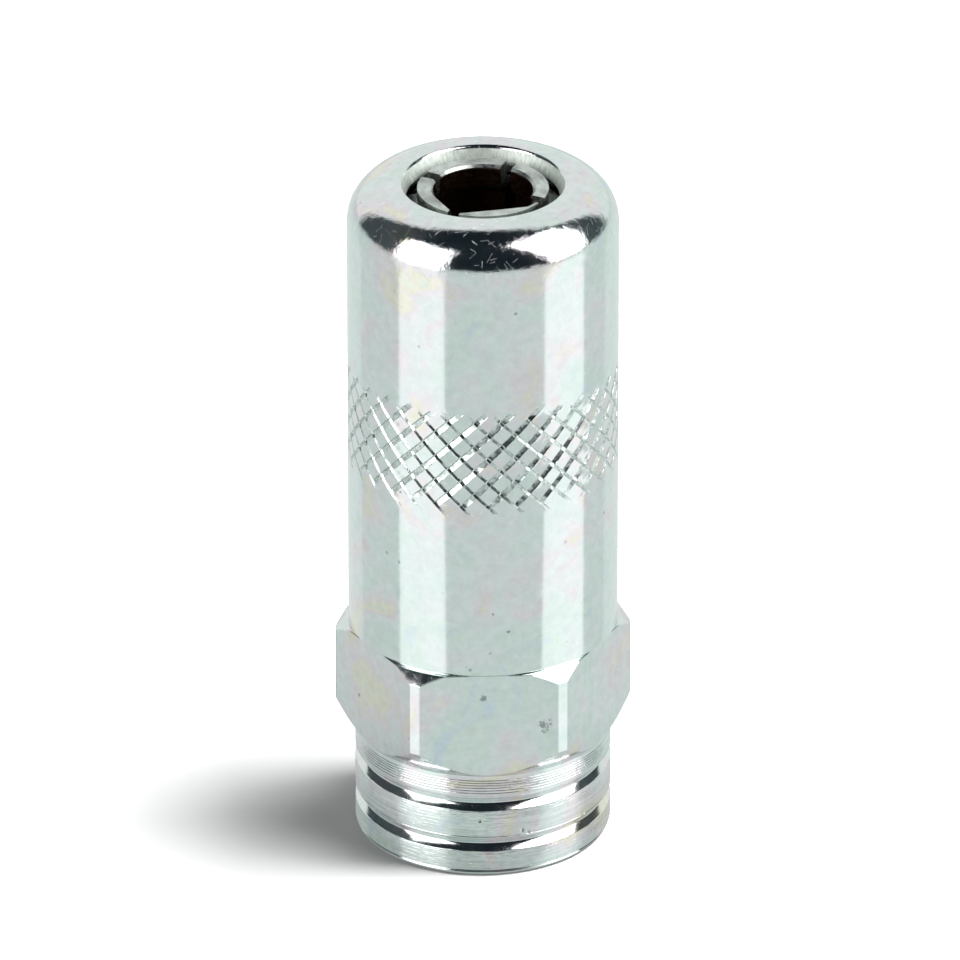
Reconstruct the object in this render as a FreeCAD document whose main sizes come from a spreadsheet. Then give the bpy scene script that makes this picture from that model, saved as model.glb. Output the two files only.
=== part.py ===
"""Hydraulic grease coupler with four spring-loaded jaws, standing on its threaded end.

A knurled sleeve screws onto a hexagon adapter. Inside, a spring pushes a hollow piston forward.
The piston carries a rubber mouth seal and four jaws, whose wedge faces run in the sleeve's cone:
pushed back they spread over a grease nipple's head, and let go they close behind it. A ball in
the adapter stops grease from flowing back. Millimetres, +Z up, origin at the centre of the
threaded end's face.
"""
import FreeCAD, Part
import os
import Sketcher
from FreeCAD import Placement, Rotation, Vector

SIZES = (
    ("shank_step", 0.12, "how far the round shank lies inside the hexagon's flats"),
    ("shank_length", 6.5, "from the threaded end's face to the hexagon's lower cone"),
    ("base_chamfer", 0.25, "bevel round the threaded end"),
    ("ring_groove_radius", 0.5, "tool radius of the two round grooves in the shank"),
    ("ring_groove_depth", 0.23, "depth of those grooves"),
    ("ring_groove_height", 2.02, "middle of the lower groove above the end face"),
    ("ring_groove_pitch", 2.63, "from the lower groove to the upper one"),
    ("sleeve_overhang", 0.25, "how far the sleeve stands out past the hexagon's flats"),
    ("hex_corner_trim", 0.16, "turned off each of the hexagon's corners"),
    ("hex_height", 6.6, "from the lower cone's foot to the hexagon's top face"),
    ("hex_top_bevel", 0.6, "width of the hexagon's upper bevel"),
    ("hex_top_angle", 45.0, "upper bevel, from the axis"),
    ("hex_lower_angle", 36.0, "lower cone, from the axis"),
    ("inlet_bore", 8.92, "minor diameter of the M10x1 inlet thread"),
    ("inlet_depth", 8.0, "depth of the inlet thread"),
    ("inlet_chamfer", 0.6, "lead-in of the inlet thread"),
    ("passage_diameter", 2.4, "grease passage up to the valve seat"),
    ("passage_length", 1.4, "length of that passage"),
    ("chamber_diameter", 4.8, "valve chamber round the ball"),
    ("retainer_diameter", 6.0, "pressed disc that holds the check spring"),
    ("retainer_thickness", 0.6, "thickness of that disc"),
    ("retainer_hole", 1.6, "grease hole in that disc"),
    ("retainer_gap", 0.02, "radial gap drawn round the pressed disc"),
    ("ball_diameter", 3.97, "steel check ball"),
    ("ball_gap", 0.02, "gap drawn between ball and seat"),
    ("check_spring_wire", 0.34, "wire of the check spring"),
    ("check_spring_mean", 2.4, "mean coil diameter of the check spring"),
    ("spring_gap", 0.03, "gap drawn at each end of a spring"),
    ("spigot_length", 7.9, "spigot above the hexagon"),
    ("spigot_chamfer", 0.3, "bevel at the spigot's mouth and rim"),
    ("joint_thread_depth", 0.125, "thread between adapter and sleeve, bore to pitch line"),
    ("joint_thread_length", 6.5, "threaded part of the spigot"),
    ("joint_thread_gap", 0.05, "radial gap drawn in that thread"),
    ("relief_width", 1.0, "thread relief next to the hexagon"),
    ("relief_depth", 0.45, "depth of the thread relief"),
    ("pilot_gap", 0.1, "radial gap between the spigot's plain end and the sleeve"),
    ("sleeve_diameter", 15.5, "outside of the knurled sleeve"),
    ("sleeve_length", 27.83, "length of the sleeve"),
    ("thread_run_out", 0.6, "how much deeper the sleeve's thread is than the spigot's is long"),
    ("sleeve_bevel", 0.15, "bevel at the sleeve's lower rim"),
    ("sleeve_wall", 1.75, "wall round the bore for piston flange, spring and jaws"),
    ("nose_radius", 2.5, "big round at the nose, where the face leaves room for it"),
    ("nose_face", 0.3, "least width of the flat face round the mouth"),
    ("mouth_flare", 0.41, "how much wider the funnel's rim is than the throat, on the radius"),
    ("mouth_flare_depth", 0.85, "depth of that funnel"),
    ("throat_diameter", 8.72, "narrowest part of the mouth"),
    ("throat_land", 0.15, "short cylinder at the throat"),
    ("cone_angle", 26.6, "cone that wedges the jaws, from the axis"),
    ("jaw_length", 10.65, "jaw from foot to tip"),
    ("jaw_tip_recess", 0.4, "jaw tips below the nose's face"),
    ("jaw_tip_room", 0.62, "radial room round the closed jaw tips in the throat"),
    ("jaw_tip_length", 1.05, "straight part of a jaw tip"),
    ("jaw_lip_diameter", 5.7, "closed lips, round the nipple's neck"),
    ("jaw_lip_length", 1.15, "straight part of the lip"),
    ("jaw_lip_chamfer", 0.15, "bevel that spreads the jaws over a nipple"),
    ("jaw_pocket_diameter", 6.9, "pocket for the nipple's head and the seal"),
    ("jaw_shoulder", 0.86, "radial step from a jaw's tip to its wedge face"),
    ("jaw_edge", 0.25, "bevel at a jaw's foot"),
    ("jaw_bore_gap", 0.55, "radial room for the jaws to spread in the bore"),
    ("jaw_wedge_gap", 0.12, "radial gap drawn between wedge face and cone"),
    ("jaw_slot", 0.7, "saw cut between two jaws"),
    ("jaw_turn", 15.5, "how far the jaws are turned about the axis, in degrees"),
    ("hook_height", 1.27, "inward hook at a jaw's foot"),
    ("hook_gap", 0.2, "room round the hook for the jaw to tilt"),
    ("flange_thickness", 1.2, "piston flange that the spring pushes"),
    ("flange_gap", 0.15, "radial gap between flange and bore"),
    ("neck_diameter", 6.0, "piston neck that the hooks go round"),
    ("collar_diameter", 7.5, "piston collar over the hooks"),
    ("collar_thickness", 1.2, "thickness of that collar"),
    ("collar_headroom", 0.4, "jaw pocket above the collar"),
    ("peg_diameter", 3.9, "peg that the seal is pushed on"),
    ("peg_height", 1.4, "height of the peg"),
    ("feed_hole", 2.0, "grease hole through the piston"),
    ("piston_gap", 0.05, "radial running gap of the piston's tail in the spigot"),
    ("piston_travel", 2.2, "how far the piston and jaws can be pushed back"),
    ("travel_room", 0.4, "left between tail and retainer after that"),
    ("tail_engagement", 2.6, "how far the tail sits in the spigot at rest"),
    ("tail_edge", 0.25, "bevel at the tail's end"),
    ("o_ring_section", 0.96, "thickness of the piston's O-ring, as squeezed in its groove"),
    ("o_ring_gap", 0.02, "gap drawn inside and outside the O-ring"),
    ("o_ring_groove_width", 1.3, "groove for the O-ring"),
    ("o_ring_offset", 0.7, "from the tail's end to the groove"),
    ("seal_room", 0.25, "radial room round the rubber mouth seal in the jaws"),
    ("seal_height", 3.6, "height of the mouth seal"),
    ("seal_hole", 1.8, "hole through the mouth seal"),
    ("seal_dish_diameter", 4.6, "dish that meets the nipple's head"),
    ("seal_dish_depth", 0.8, "depth of the dish"),
    ("seal_edge", 0.3, "bevel round the seal's front"),
    ("seal_gap", 0.02, "gap drawn between seal and piston"),
    ("spreader_height", 0.7, "height of the ring that spreads the jaws"),
    ("spreader_wall", 0.6, "radial thickness of that ring"),
    ("spreader_gap", 0.16, "room round that ring in its groove for the jaws to tilt"),
    ("spreader_rise", 0.5, "from the collar's pocket to the ring's groove"),
    ("spreader_opening", 30.0, "opening in that ring, in degrees"),
    ("main_spring_wire", 0.8, "wire of the main spring"),
    ("main_spring_gap", 0.3, "radial gap between main spring and bore"),
    ("main_spring_core", 0.75, "radial gap between main spring and piston tail"),
)

# Half turns of wire between a spring's two flat end coils.
SPRING_HALF_TURNS = 7

# Radii that several pieces share, from the sleeve's outside inwards.
BORE = "(Sizes.sleeve_diameter / 2 - Sizes.sleeve_wall)"
FLAT = "(Sizes.sleeve_diameter / 2 - Sizes.sleeve_overhang)"
JOINT_THREAD = f"({BORE} + Sizes.joint_thread_depth)"
MAIN_COIL = f"({BORE} - Sizes.main_spring_gap - Sizes.main_spring_wire / 2)"
TAIL = f"({MAIN_COIL} - Sizes.main_spring_wire / 2 - Sizes.main_spring_core)"
SPIGOT_BORE = f"({TAIL} + Sizes.piston_gap)"
JAW_TIP = "(Sizes.throat_diameter / 2 - Sizes.jaw_tip_room)"

# Heights above the threaded end's face.
HEX_TOP = "(Sizes.shank_length + Sizes.hex_height)"
SPIGOT_TOP = f"({HEX_TOP} + Sizes.spigot_length)"
SLEEVE_TOP = f"({HEX_TOP} + Sizes.sleeve_length)"
JAW_FOOT = f"({SLEEVE_TOP} - Sizes.jaw_tip_recess - Sizes.jaw_length)"
FLANGE_TOP = f"({JAW_FOOT} - Sizes.hook_gap)"
FLANGE_SEAT = f"({FLANGE_TOP} - Sizes.flange_thickness)"
TAIL_END = f"({SPIGOT_TOP} - Sizes.tail_engagement)"
RETAINER_TOP = f"({TAIL_END} - Sizes.piston_travel - Sizes.travel_room)"
RETAINER_SEAT = f"({RETAINER_TOP} - Sizes.retainer_thickness)"
SEAT_EDGE = "(Sizes.inlet_depth + Sizes.passage_length)"
BALL_CENTRE = f"({SEAT_EDGE} - Sizes.passage_diameter / 2 + Sizes.ball_diameter / sqrt(2) + Sizes.ball_gap)"

# Heights above a jaw's foot.
COLLAR_TOP = "(Sizes.hook_height + Sizes.hook_gap + Sizes.collar_thickness)"
SPREADER_GROOVE = f"({COLLAR_TOP} + Sizes.collar_headroom + Sizes.spreader_rise)"


def make_sheet(document):
    """Puts the driving dimensions in a spreadsheet, one row each."""
    sheet = document.addObject("Spreadsheet::Sheet", "Sizes")
    for row, (alias, size, meaning) in enumerate(SIZES, start=1):
        sheet.set(f"A{row}", alias)
        sheet.set(f"B{row}", str(size))
        sheet.set(f"C{row}", meaning)
        sheet.setAlias(f"B{row}", alias)
    document.recompute()
    return sheet


doc = FreeCAD.newDocument("GreaseCoupler")
sizes = make_sheet(doc)
finished = []


def value(expression):
    """What an expression on the sheet's cells comes to now."""
    return float(sizes.evalExpression(expression))


def radius(alias):
    """Half of a diameter in the sheet."""
    return f"Sizes.{alias} / 2"


def new_body(label, lift="0"):
    """A body for one piece, raised above the threaded end's face by lift."""
    body = doc.addObject("PartDesign::Body", label)
    body.Label = label
    body.setExpression("Placement.Base.z", lift)
    finished.append(body)
    return body


def new_sketch(body, name, plane):
    """A sketch on one of the body's own origin planes."""
    sketch = body.newObject("Sketcher::SketchObject", name)
    base = next(feature for feature in body.Origin.OriginFeatures if feature.Role == plane)
    sketch.AttachmentSupport = (base, [""])
    sketch.MapMode = "FlatFace"
    return sketch


def fix_point(sketch, line, corner, previous):
    """Ties the start of a line to its radius and height, or levels it with the corner before."""
    axes = (("DistanceX", "Vertical", -2, "across"), ("DistanceY", "Horizontal", -1, "up"))
    for place, (distance, level, axis, word) in enumerate(axes):
        if previous and corner[place] == previous[place]:
            sketch.addConstraint(Sketcher.Constraint(level, line - 1))
        elif corner[place] == "0":
            sketch.addConstraint(Sketcher.Constraint("PointOnObject", line, 1, axis))
        else:
            size = value(corner[place])
            index = sketch.addConstraint(Sketcher.Constraint(distance, -1, 1, line, 1, size))
            sketch.renameConstraint(index, f"{word}{line}")
            sketch.setExpression(f"Constraints.{word}{line}", corner[place])


def draw_outline(sketch, corners):
    """A closed outline of straight lines through corners, each a pair of expressions."""
    points = [Vector(value(across), value(up), 0) for across, up in corners]
    first = sketch.GeometryCount
    count = len(points)
    for index, point in enumerate(points):
        sketch.addGeometry(Part.LineSegment(point, points[(index + 1) % count]), False)
    for index in range(count):
        after = first + (index + 1) % count
        sketch.addConstraint(Sketcher.Constraint("Coincident", first + index, 2, after, 1))
    for index, corner in enumerate(corners):
        fix_point(sketch, first + index, corner, corners[index - 1] if index else None)


def turned(body, name, corners, angle="360"):
    """Turns an outline of (radius, height) corners about the body's axis."""
    sketch = new_sketch(body, f"{name}_outline", "XZ_Plane")
    draw_outline(sketch, corners)
    feature = body.newObject("PartDesign::Revolution", name)
    feature.Profile = sketch
    feature.ReferenceAxis = (sketch, ["V_Axis"])
    feature.setExpression("Angle", angle)
    doc.recompute()
    return feature


def rim_edge(feature, rim_radius, height):
    """Name of the circular edge with that radius at that height in the body's own frame."""
    for number, edge in enumerate(feature.Shape.Edges, start=1):
        curve = edge.Curve
        if not isinstance(curve, Part.Circle):
            continue
        if abs(curve.Radius - rim_radius) < 1e-4 and abs(curve.Center.z - height) < 1e-4:
            return f"Edge{number}"
    raise ValueError(f"{feature.Label} has no rim of radius {rim_radius} at height {height}")


def make_adapter():
    """Hexagon adapter: inlet thread below, valve seat inside, threaded spigot for the sleeve above."""
    body = new_body("rear_adapter")
    inlet, passage, chamber = radius("inlet_bore"), radius("passage_diameter"), radius("chamber_diameter")
    retainer = radius("retainer_diameter")
    shank = f"({FLAT} - Sizes.shank_step)"
    corner = f"({FLAT} * 2 / sqrt(3) - Sizes.hex_corner_trim)"
    face = f"({corner} - Sizes.hex_top_bevel)"
    pilot = f"({BORE} - Sizes.pilot_gap)"
    thread_top = f"{HEX_TOP} + Sizes.joint_thread_length"
    relief_top = f"{HEX_TOP} + Sizes.relief_width"
    bevel_foot = f"{HEX_TOP} - ({corner} - {face}) / tan(Sizes.hex_top_angle)"
    cone_top = f"Sizes.shank_length + ({corner} - {shank}) / tan(Sizes.hex_lower_angle)"
    rim = f"{SPIGOT_TOP} - Sizes.spigot_chamfer"
    turned(body, "adapter_turned", [
        (f"{inlet} + Sizes.inlet_chamfer", "0"),
        (inlet, "Sizes.inlet_chamfer"),
        (inlet, "Sizes.inlet_depth"),
        (passage, "Sizes.inlet_depth"),
        (passage, SEAT_EDGE),
        (chamber, f"{SEAT_EDGE} + ({chamber} - {passage})"),
        (chamber, RETAINER_SEAT),
        (retainer, RETAINER_SEAT),
        (retainer, RETAINER_TOP),
        (SPIGOT_BORE, RETAINER_TOP),
        (SPIGOT_BORE, rim),
        (f"{SPIGOT_BORE} + Sizes.spigot_chamfer", SPIGOT_TOP),
        (f"{pilot} - Sizes.spigot_chamfer", SPIGOT_TOP),
        (pilot, rim),
        (pilot, thread_top),
        (JOINT_THREAD, thread_top),
        (JOINT_THREAD, relief_top),
        (f"{JOINT_THREAD} - Sizes.relief_depth", relief_top),
        (f"{JOINT_THREAD} - Sizes.relief_depth", HEX_TOP),
        (face, HEX_TOP),
        (corner, bevel_foot),
        (corner, cone_top),
        (shank, "Sizes.shank_length"),
        (shank, "Sizes.base_chamfer"),
        (f"{shank} - Sizes.base_chamfer", "0"),
    ])
    cut_flats(body)
    cut_ring_grooves(body)


def cut_flats(body):
    """Mills the six flats: everything outside the hexagon goes, over the hexagon's height."""
    sketch = new_sketch(body, "flats_outline", "XY_Plane")
    sketch.setExpression("AttachmentOffset.Base.z", HEX_TOP)
    apex = value(f"{FLAT} * 2 / sqrt(3)")
    outside = 2 * apex
    turns = [Rotation(Vector(0, 0, 1), 60 * step) for step in range(6)]
    points = [turn.multVec(Vector(apex, 0, 0)) for turn in turns]
    for index in range(6):
        sketch.addGeometry(Part.LineSegment(points[index], points[(index + 1) % 6]), False)
    for index in range(6):
        sketch.addConstraint(Sketcher.Constraint("Coincident", index, 2, (index + 1) % 6, 1))
    for index in range(1, 6):
        sketch.addConstraint(Sketcher.Constraint("Equal", 0, index))
    guide = sketch.addGeometry(Part.Circle(Vector(0, 0, 0), Vector(0, 0, 1), apex), True)
    sketch.addConstraint(Sketcher.Constraint("Coincident", guide, 3, -1, 1))
    for index in range(6):
        sketch.addConstraint(Sketcher.Constraint("PointOnObject", index, 1, guide))
    sketch.addConstraint(Sketcher.Constraint("PointOnObject", 0, 1, -1))
    across = sketch.addConstraint(Sketcher.Constraint("Radius", guide, apex))
    sketch.renameConstraint(across, "apex")
    sketch.setExpression("Constraints.apex", f"{FLAT} * 2 / sqrt(3)")
    stock = sketch.addGeometry(Part.Circle(Vector(0, 0, 0), Vector(0, 0, 1), outside), False)
    sketch.addConstraint(Sketcher.Constraint("Coincident", stock, 3, -1, 1))
    rim = sketch.addConstraint(Sketcher.Constraint("Radius", stock, outside))
    sketch.renameConstraint(rim, "stock")
    sketch.setExpression("Constraints.stock", f"{FLAT} * 4 / sqrt(3)")
    pocket = body.newObject("PartDesign::Pocket", "flats")
    pocket.Profile = sketch
    pocket.setExpression("Length", "Sizes.hex_height")
    doc.recompute()


def cut_ring_grooves(body):
    """Turns the two round-bottomed grooves in the shank."""
    sketch = new_sketch(body, "ring_groove_outline", "XZ_Plane")
    across = f"{FLAT} - Sizes.shank_step + Sizes.ring_groove_radius - Sizes.ring_groove_depth"
    tool = value("Sizes.ring_groove_radius")
    centre = Vector(value(across), value("Sizes.ring_groove_height"), 0)
    sketch.addGeometry(Part.Circle(centre, Vector(0, 0, 1), tool), False)
    bounds = (
        ("across", Sketcher.Constraint("DistanceX", -1, 1, 0, 3, centre.x), across),
        ("up", Sketcher.Constraint("DistanceY", -1, 1, 0, 3, centre.y), "Sizes.ring_groove_height"),
        ("tool", Sketcher.Constraint("Radius", 0, tool), "Sizes.ring_groove_radius"),
    )
    for word, constraint, expression in bounds:
        sketch.renameConstraint(sketch.addConstraint(constraint), word)
        sketch.setExpression(f"Constraints.{word}", expression)
    groove = body.newObject("PartDesign::Groove", "ring_groove")
    groove.Profile = sketch
    groove.ReferenceAxis = (sketch, ["V_Axis"])
    groove.Angle = 360
    doc.recompute()
    pattern = body.newObject("PartDesign::LinearPattern", "ring_grooves")
    pattern.Originals = [groove]
    pattern.Direction = (sketch, ["V_Axis"])
    pattern.Occurrences = 2
    pattern.setExpression("Length", "Sizes.ring_groove_pitch")
    body.Tip = pattern
    doc.recompute()


def make_sleeve():
    """Knurled sleeve: thread below, bore, wedging cone, and a round nose with a funnel mouth."""
    body = new_body("nose_sleeve", HEX_TOP)
    outside, throat = radius("sleeve_diameter"), radius("throat_diameter")
    mouth = f"({throat} + Sizes.mouth_flare)"
    thread = f"{JOINT_THREAD} + Sizes.joint_thread_gap"
    thread_end = "Sizes.joint_thread_length + Sizes.thread_run_out"
    top = "Sizes.sleeve_length"
    funnel = "Sizes.sleeve_length - Sizes.mouth_flare_depth"
    cone_top = f"{funnel} - Sizes.throat_land"
    blank = turned(body, "sleeve_turned", [
        (f"{thread} + Sizes.sleeve_bevel", "0"),
        (thread, "Sizes.sleeve_bevel"),
        (thread, thread_end),
        (BORE, thread_end),
        (BORE, f"{cone_top} - ({BORE} - {throat}) / tan(Sizes.cone_angle)"),
        (throat, cone_top),
        (throat, funnel),
        (mouth, top),
        (outside, top),
        (outside, "Sizes.sleeve_bevel"),
        (f"{outside} - Sizes.sleeve_bevel", "0"),
    ])
    nose = body.newObject("PartDesign::Fillet", "nose")
    nose.Base = (blank, [rim_edge(blank, value(outside), value(top))])
    nose.setExpression("Radius", f"min(Sizes.nose_radius; {outside} - {mouth} - Sizes.nose_face)")
    body.Tip = nose
    doc.recompute()


def make_retainer():
    """Disc pressed over the valve chamber, with a hole for the grease."""
    body = new_body("check_spring_retainer", RETAINER_SEAT)
    rim = f"{radius('retainer_diameter')} - Sizes.retainer_gap"
    turned(body, "retainer_turned", [
        (radius("retainer_hole"), "0"),
        (rim, "0"),
        (rim, "Sizes.retainer_thickness"),
        (radius("retainer_hole"), "Sizes.retainer_thickness"),
    ])


def make_piston():
    """Hollow piston: tail with O-ring groove, spring flange, neck for the hooks, collar, seal peg."""
    body = new_body("piston", TAIL_END)
    feed, neck, collar = radius("feed_hole"), radius("neck_diameter"), radius("collar_diameter")
    peg = radius("peg_diameter")
    flange = f"{BORE} - Sizes.flange_gap"
    groove_foot = "Sizes.o_ring_offset"
    groove_top = "Sizes.o_ring_offset + Sizes.o_ring_groove_width"
    groove_floor = f"{SPIGOT_BORE} - Sizes.o_ring_section - 2 * Sizes.o_ring_gap"
    flange_seat, flange_top = f"{FLANGE_SEAT} - {TAIL_END}", f"{FLANGE_TOP} - {TAIL_END}"
    collar_top = f"{JAW_FOOT} + {COLLAR_TOP} - {TAIL_END}"
    turned(body, "piston_turned", [
        (feed, "0"),
        (f"{TAIL} - Sizes.tail_edge", "0"),
        (TAIL, "Sizes.tail_edge"),
        (TAIL, groove_foot),
        (groove_floor, groove_foot),
        (groove_floor, groove_top),
        (TAIL, groove_top),
        (TAIL, flange_seat),
        (flange, flange_seat),
        (flange, flange_top),
        (neck, flange_top),
        (neck, f"{collar_top} - Sizes.collar_thickness"),
        (collar, f"{collar_top} - Sizes.collar_thickness"),
        (collar, collar_top),
        (peg, collar_top),
        (peg, f"{collar_top} + Sizes.peg_height"),
        (feed, f"{collar_top} + Sizes.peg_height"),
    ])


def make_o_ring():
    """Rubber O-ring in the piston's groove, which seals the tail in the spigot."""
    ring = doc.addObject("Part::Torus", "piston_o_ring")
    height = f"{TAIL_END} + Sizes.o_ring_offset + Sizes.o_ring_groove_width / 2"
    ring.setExpression("Radius1", f"{SPIGOT_BORE} - Sizes.o_ring_gap - Sizes.o_ring_section / 2")
    ring.setExpression("Radius2", "Sizes.o_ring_section / 2")
    ring.setExpression("Placement.Base.z", height)
    finished.append(ring)


def make_seal():
    """Rubber mouth seal: pushed on the piston's peg, dished to meet the nipple's round head."""
    body = new_body("mouth_seal", f"{JAW_FOOT} + {COLLAR_TOP} + Sizes.seal_gap")
    outside = f"({radius('jaw_pocket_diameter')} - Sizes.seal_room)"
    hole, dish = radius("seal_hole"), radius("seal_dish_diameter")
    socket = f"{radius('peg_diameter')} + Sizes.seal_gap"
    turned(body, "seal_turned", [
        (socket, "0"),
        (outside, "0"),
        (outside, "Sizes.seal_height - Sizes.seal_edge"),
        (f"{outside} - Sizes.seal_edge", "Sizes.seal_height"),
        (dish, "Sizes.seal_height"),
        (hole, "Sizes.seal_height - Sizes.seal_dish_depth"),
        (hole, "Sizes.peg_height"),
        (socket, "Sizes.peg_height"),
    ])


def make_spreader():
    """Open spring ring in the jaws' inner groove, which pushes the jaws apart."""
    body = new_body("jaw_spreader_ring", f"{JAW_FOOT} + {SPREADER_GROOVE} + Sizes.spreader_gap")
    inside = f"{radius('jaw_pocket_diameter')} + Sizes.spreader_gap / 2"
    outside = f"{inside} + Sizes.spreader_wall"
    feature = turned(body, "spreader_turned", [
        (inside, "0"),
        (outside, "0"),
        (outside, "Sizes.spreader_height"),
        (inside, "Sizes.spreader_height"),
    ], "360 - Sizes.spreader_opening")
    feature.Midplane = True
    doc.recompute()


def jaw_outline():
    """Corners of a jaw's section, heights from its foot."""
    hook = f"{radius('neck_diameter')} + Sizes.hook_gap"
    over_collar = f"{radius('collar_diameter')} + Sizes.hook_gap"
    pocket, lip = radius("jaw_pocket_diameter"), radius("jaw_lip_diameter")
    groove = f"{pocket} + Sizes.spreader_wall + Sizes.spreader_gap * 3 / 2"
    groove_top = f"{SPREADER_GROOVE} + Sizes.spreader_height + Sizes.spreader_gap * 2"
    pocket_floor = f"{COLLAR_TOP} + Sizes.collar_headroom"
    outside = f"({BORE} - Sizes.jaw_bore_gap)"
    shoulder = f"({JAW_TIP} + Sizes.jaw_shoulder)"
    top = "Sizes.jaw_length"
    bevel = "Sizes.jaw_lip_chamfer"
    lip_top = f"{top} - {bevel}"
    lip_foot = f"{lip_top} - Sizes.jaw_lip_length"
    throat = f"{top} + Sizes.jaw_tip_recess - Sizes.mouth_flare_depth - Sizes.throat_land"
    wedge = f"{throat} - ({{}} - {radius('throat_diameter')} + Sizes.jaw_wedge_gap) / tan(Sizes.cone_angle)"
    return [
        (hook, "0"),
        (f"{outside} - Sizes.jaw_edge", "0"),
        (outside, "Sizes.jaw_edge"),
        (outside, wedge.format(outside)),
        (shoulder, wedge.format(shoulder)),
        (JAW_TIP, f"{top} - Sizes.jaw_tip_length"),
        (JAW_TIP, top),
        (f"{lip} + {bevel}", top),
        (lip, lip_top),
        (lip, lip_foot),
        (pocket, f"{lip_foot} - ({pocket} - {lip})"),
        (pocket, groove_top),
        (groove, groove_top),
        (groove, SPREADER_GROOVE),
        (pocket, SPREADER_GROOVE),
        (pocket, pocket_floor),
        (over_collar, pocket_floor),
        (over_collar, "Sizes.hook_height"),
        (hook, "Sizes.hook_height"),
    ]


def make_jaw(label, quarter):
    """One jaw: a quarter of a turned collet, its sides saw cuts parallel to the quarter's edges."""
    body = new_body(label, JAW_FOOT)
    body.Placement = Placement(Vector(0, 0, value(JAW_FOOT)), Rotation(Vector(0, 0, 1), 1))
    body.setExpression("Placement.Rotation.Angle", f"Sizes.jaw_turn + {90 * quarter}")
    turned(body, f"{label}_turned", jaw_outline())
    sketch = new_sketch(body, f"{label}_sides", "XY_Plane")
    reach = "Sizes.sleeve_diameter"
    edge = f"({reach} - Sizes.jaw_slot / sqrt(2))"
    draw_outline(sketch, [
        ("Sizes.jaw_slot / sqrt(2)", "0"),
        (reach, edge),
        (f"-{reach}", edge),
        (f"-{reach}", f"-{edge}"),
        (reach, f"-{edge}"),
    ])
    cut = body.newObject("PartDesign::Pocket", f"{label}_saw_cut")
    cut.Profile = sketch
    cut.Type = "ThroughAll"
    cut.Midplane = True
    doc.recompute()


def make_spring(label, wire, mean_radius, lift, length):
    """Compression spring of half turns, tilted to and fro as it climbs, with flat ends ground square."""
    ground = f"{wire} / 4"
    rise = f"(({length} - {wire} + 2 * {ground}) / {SPRING_HALF_TURNS})"
    halves = []
    for count in range(SPRING_HALF_TURNS + 2):
        flat = count in (0, SPRING_HALF_TURNS + 1)
        climb = "0" if flat else f"{rise} / 2"
        below = min(max(count - 1, 0), SPRING_HALF_TURNS)
        half = doc.addObject("Part::Torus", f"{label}_half_turn")
        half.Angle3 = 180
        half.setExpression("Radius1", f"sqrt({mean_radius} ^ 2 + ({climb}) ^ 2)")
        half.setExpression("Radius2", f"{wire} / 2")
        height = f"{wire} / 2 - {ground} + {rise} * {below} + {climb}"
        tilt = f"atan(({climb}) / {mean_radius})"
        lean = f"rotation(vector(0; 1; 0); {tilt})"
        if count % 2:
            lean = f"rotation(vector(0; 1; 0); -{tilt}) * rotation(vector(0; 0; 1); 180)"
        half.setExpression("Placement", f"placement(vector(0; 0; {height}); {lean})")
        halves.append(half)
    wound = doc.addObject("Part::MultiFuse", f"{label}_wound")
    wound.Shapes = halves
    room = doc.addObject("Part::Cylinder", f"{label}_room")
    room.setExpression("Radius", f"{mean_radius} + {wire}")
    room.setExpression("Height", length)
    spring = doc.addObject("Part::Common", label)
    spring.Base = wound
    spring.Tool = room
    spring.setExpression("Placement.Base.z", lift)
    finished.append(spring)
    doc.recompute()


def make_ball():
    """Steel ball that rests on the valve seat."""
    ball = doc.addObject("Part::Sphere", "check_ball")
    ball.setExpression("Radius", radius("ball_diameter"))
    ball.setExpression("Placement.Base.z", BALL_CENTRE)
    finished.append(ball)


def make_springs():
    """Main spring under the piston's flange, and the check spring over the ball."""
    gap = "Sizes.spring_gap"
    main_lift = f"{SPIGOT_TOP} + {gap}"
    main_length = f"({FLANGE_SEAT} - {SPIGOT_TOP} - 2 * {gap})"
    make_spring("main_spring", "Sizes.main_spring_wire", MAIN_COIL, main_lift, main_length)
    inside = "(Sizes.check_spring_mean - Sizes.check_spring_wire) / 2"
    on_ball = f"{BALL_CENTRE} + sqrt((Sizes.ball_diameter / 2) ^ 2 - ({inside}) ^ 2)"
    check_lift = f"{on_ball} + {gap}"
    check_length = f"{RETAINER_SEAT} - ({on_ball}) - 2 * {gap}"
    check_mean = f"({radius('check_spring_mean')})"
    make_spring("check_spring", "Sizes.check_spring_wire", check_mean, check_lift, f"({check_length})")


make_adapter()
make_sleeve()
make_retainer()
make_ball()
make_piston()
make_o_ring()
make_seal()
make_spreader()
for place, side in enumerate(("right", "back", "left", "front")):
    make_jaw(f"jaw_{side}", place)
make_springs()
doc.recompute()

for item in doc.Objects:
    if "Invalid" in item.State or "Error" in item.State:
        raise RuntimeError(f"{item.Label} did not build: {item.State}")
os.makedirs("parts", exist_ok=True)
for item in finished:
    shape = item.Shape
    if shape.isNull() or not shape.isValid() or not shape.Solids:
        raise RuntimeError(f"{item.Label} has no sound solid")
    shape.exportStep(f"parts/{item.Label}.step")
    print(f"{item.Label}: {len(shape.Solids)} solid, {shape.Volume:.2f} mm3")
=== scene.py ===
import math
import random

import bmesh
import bpy
from mathutils import Matrix, Vector


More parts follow.
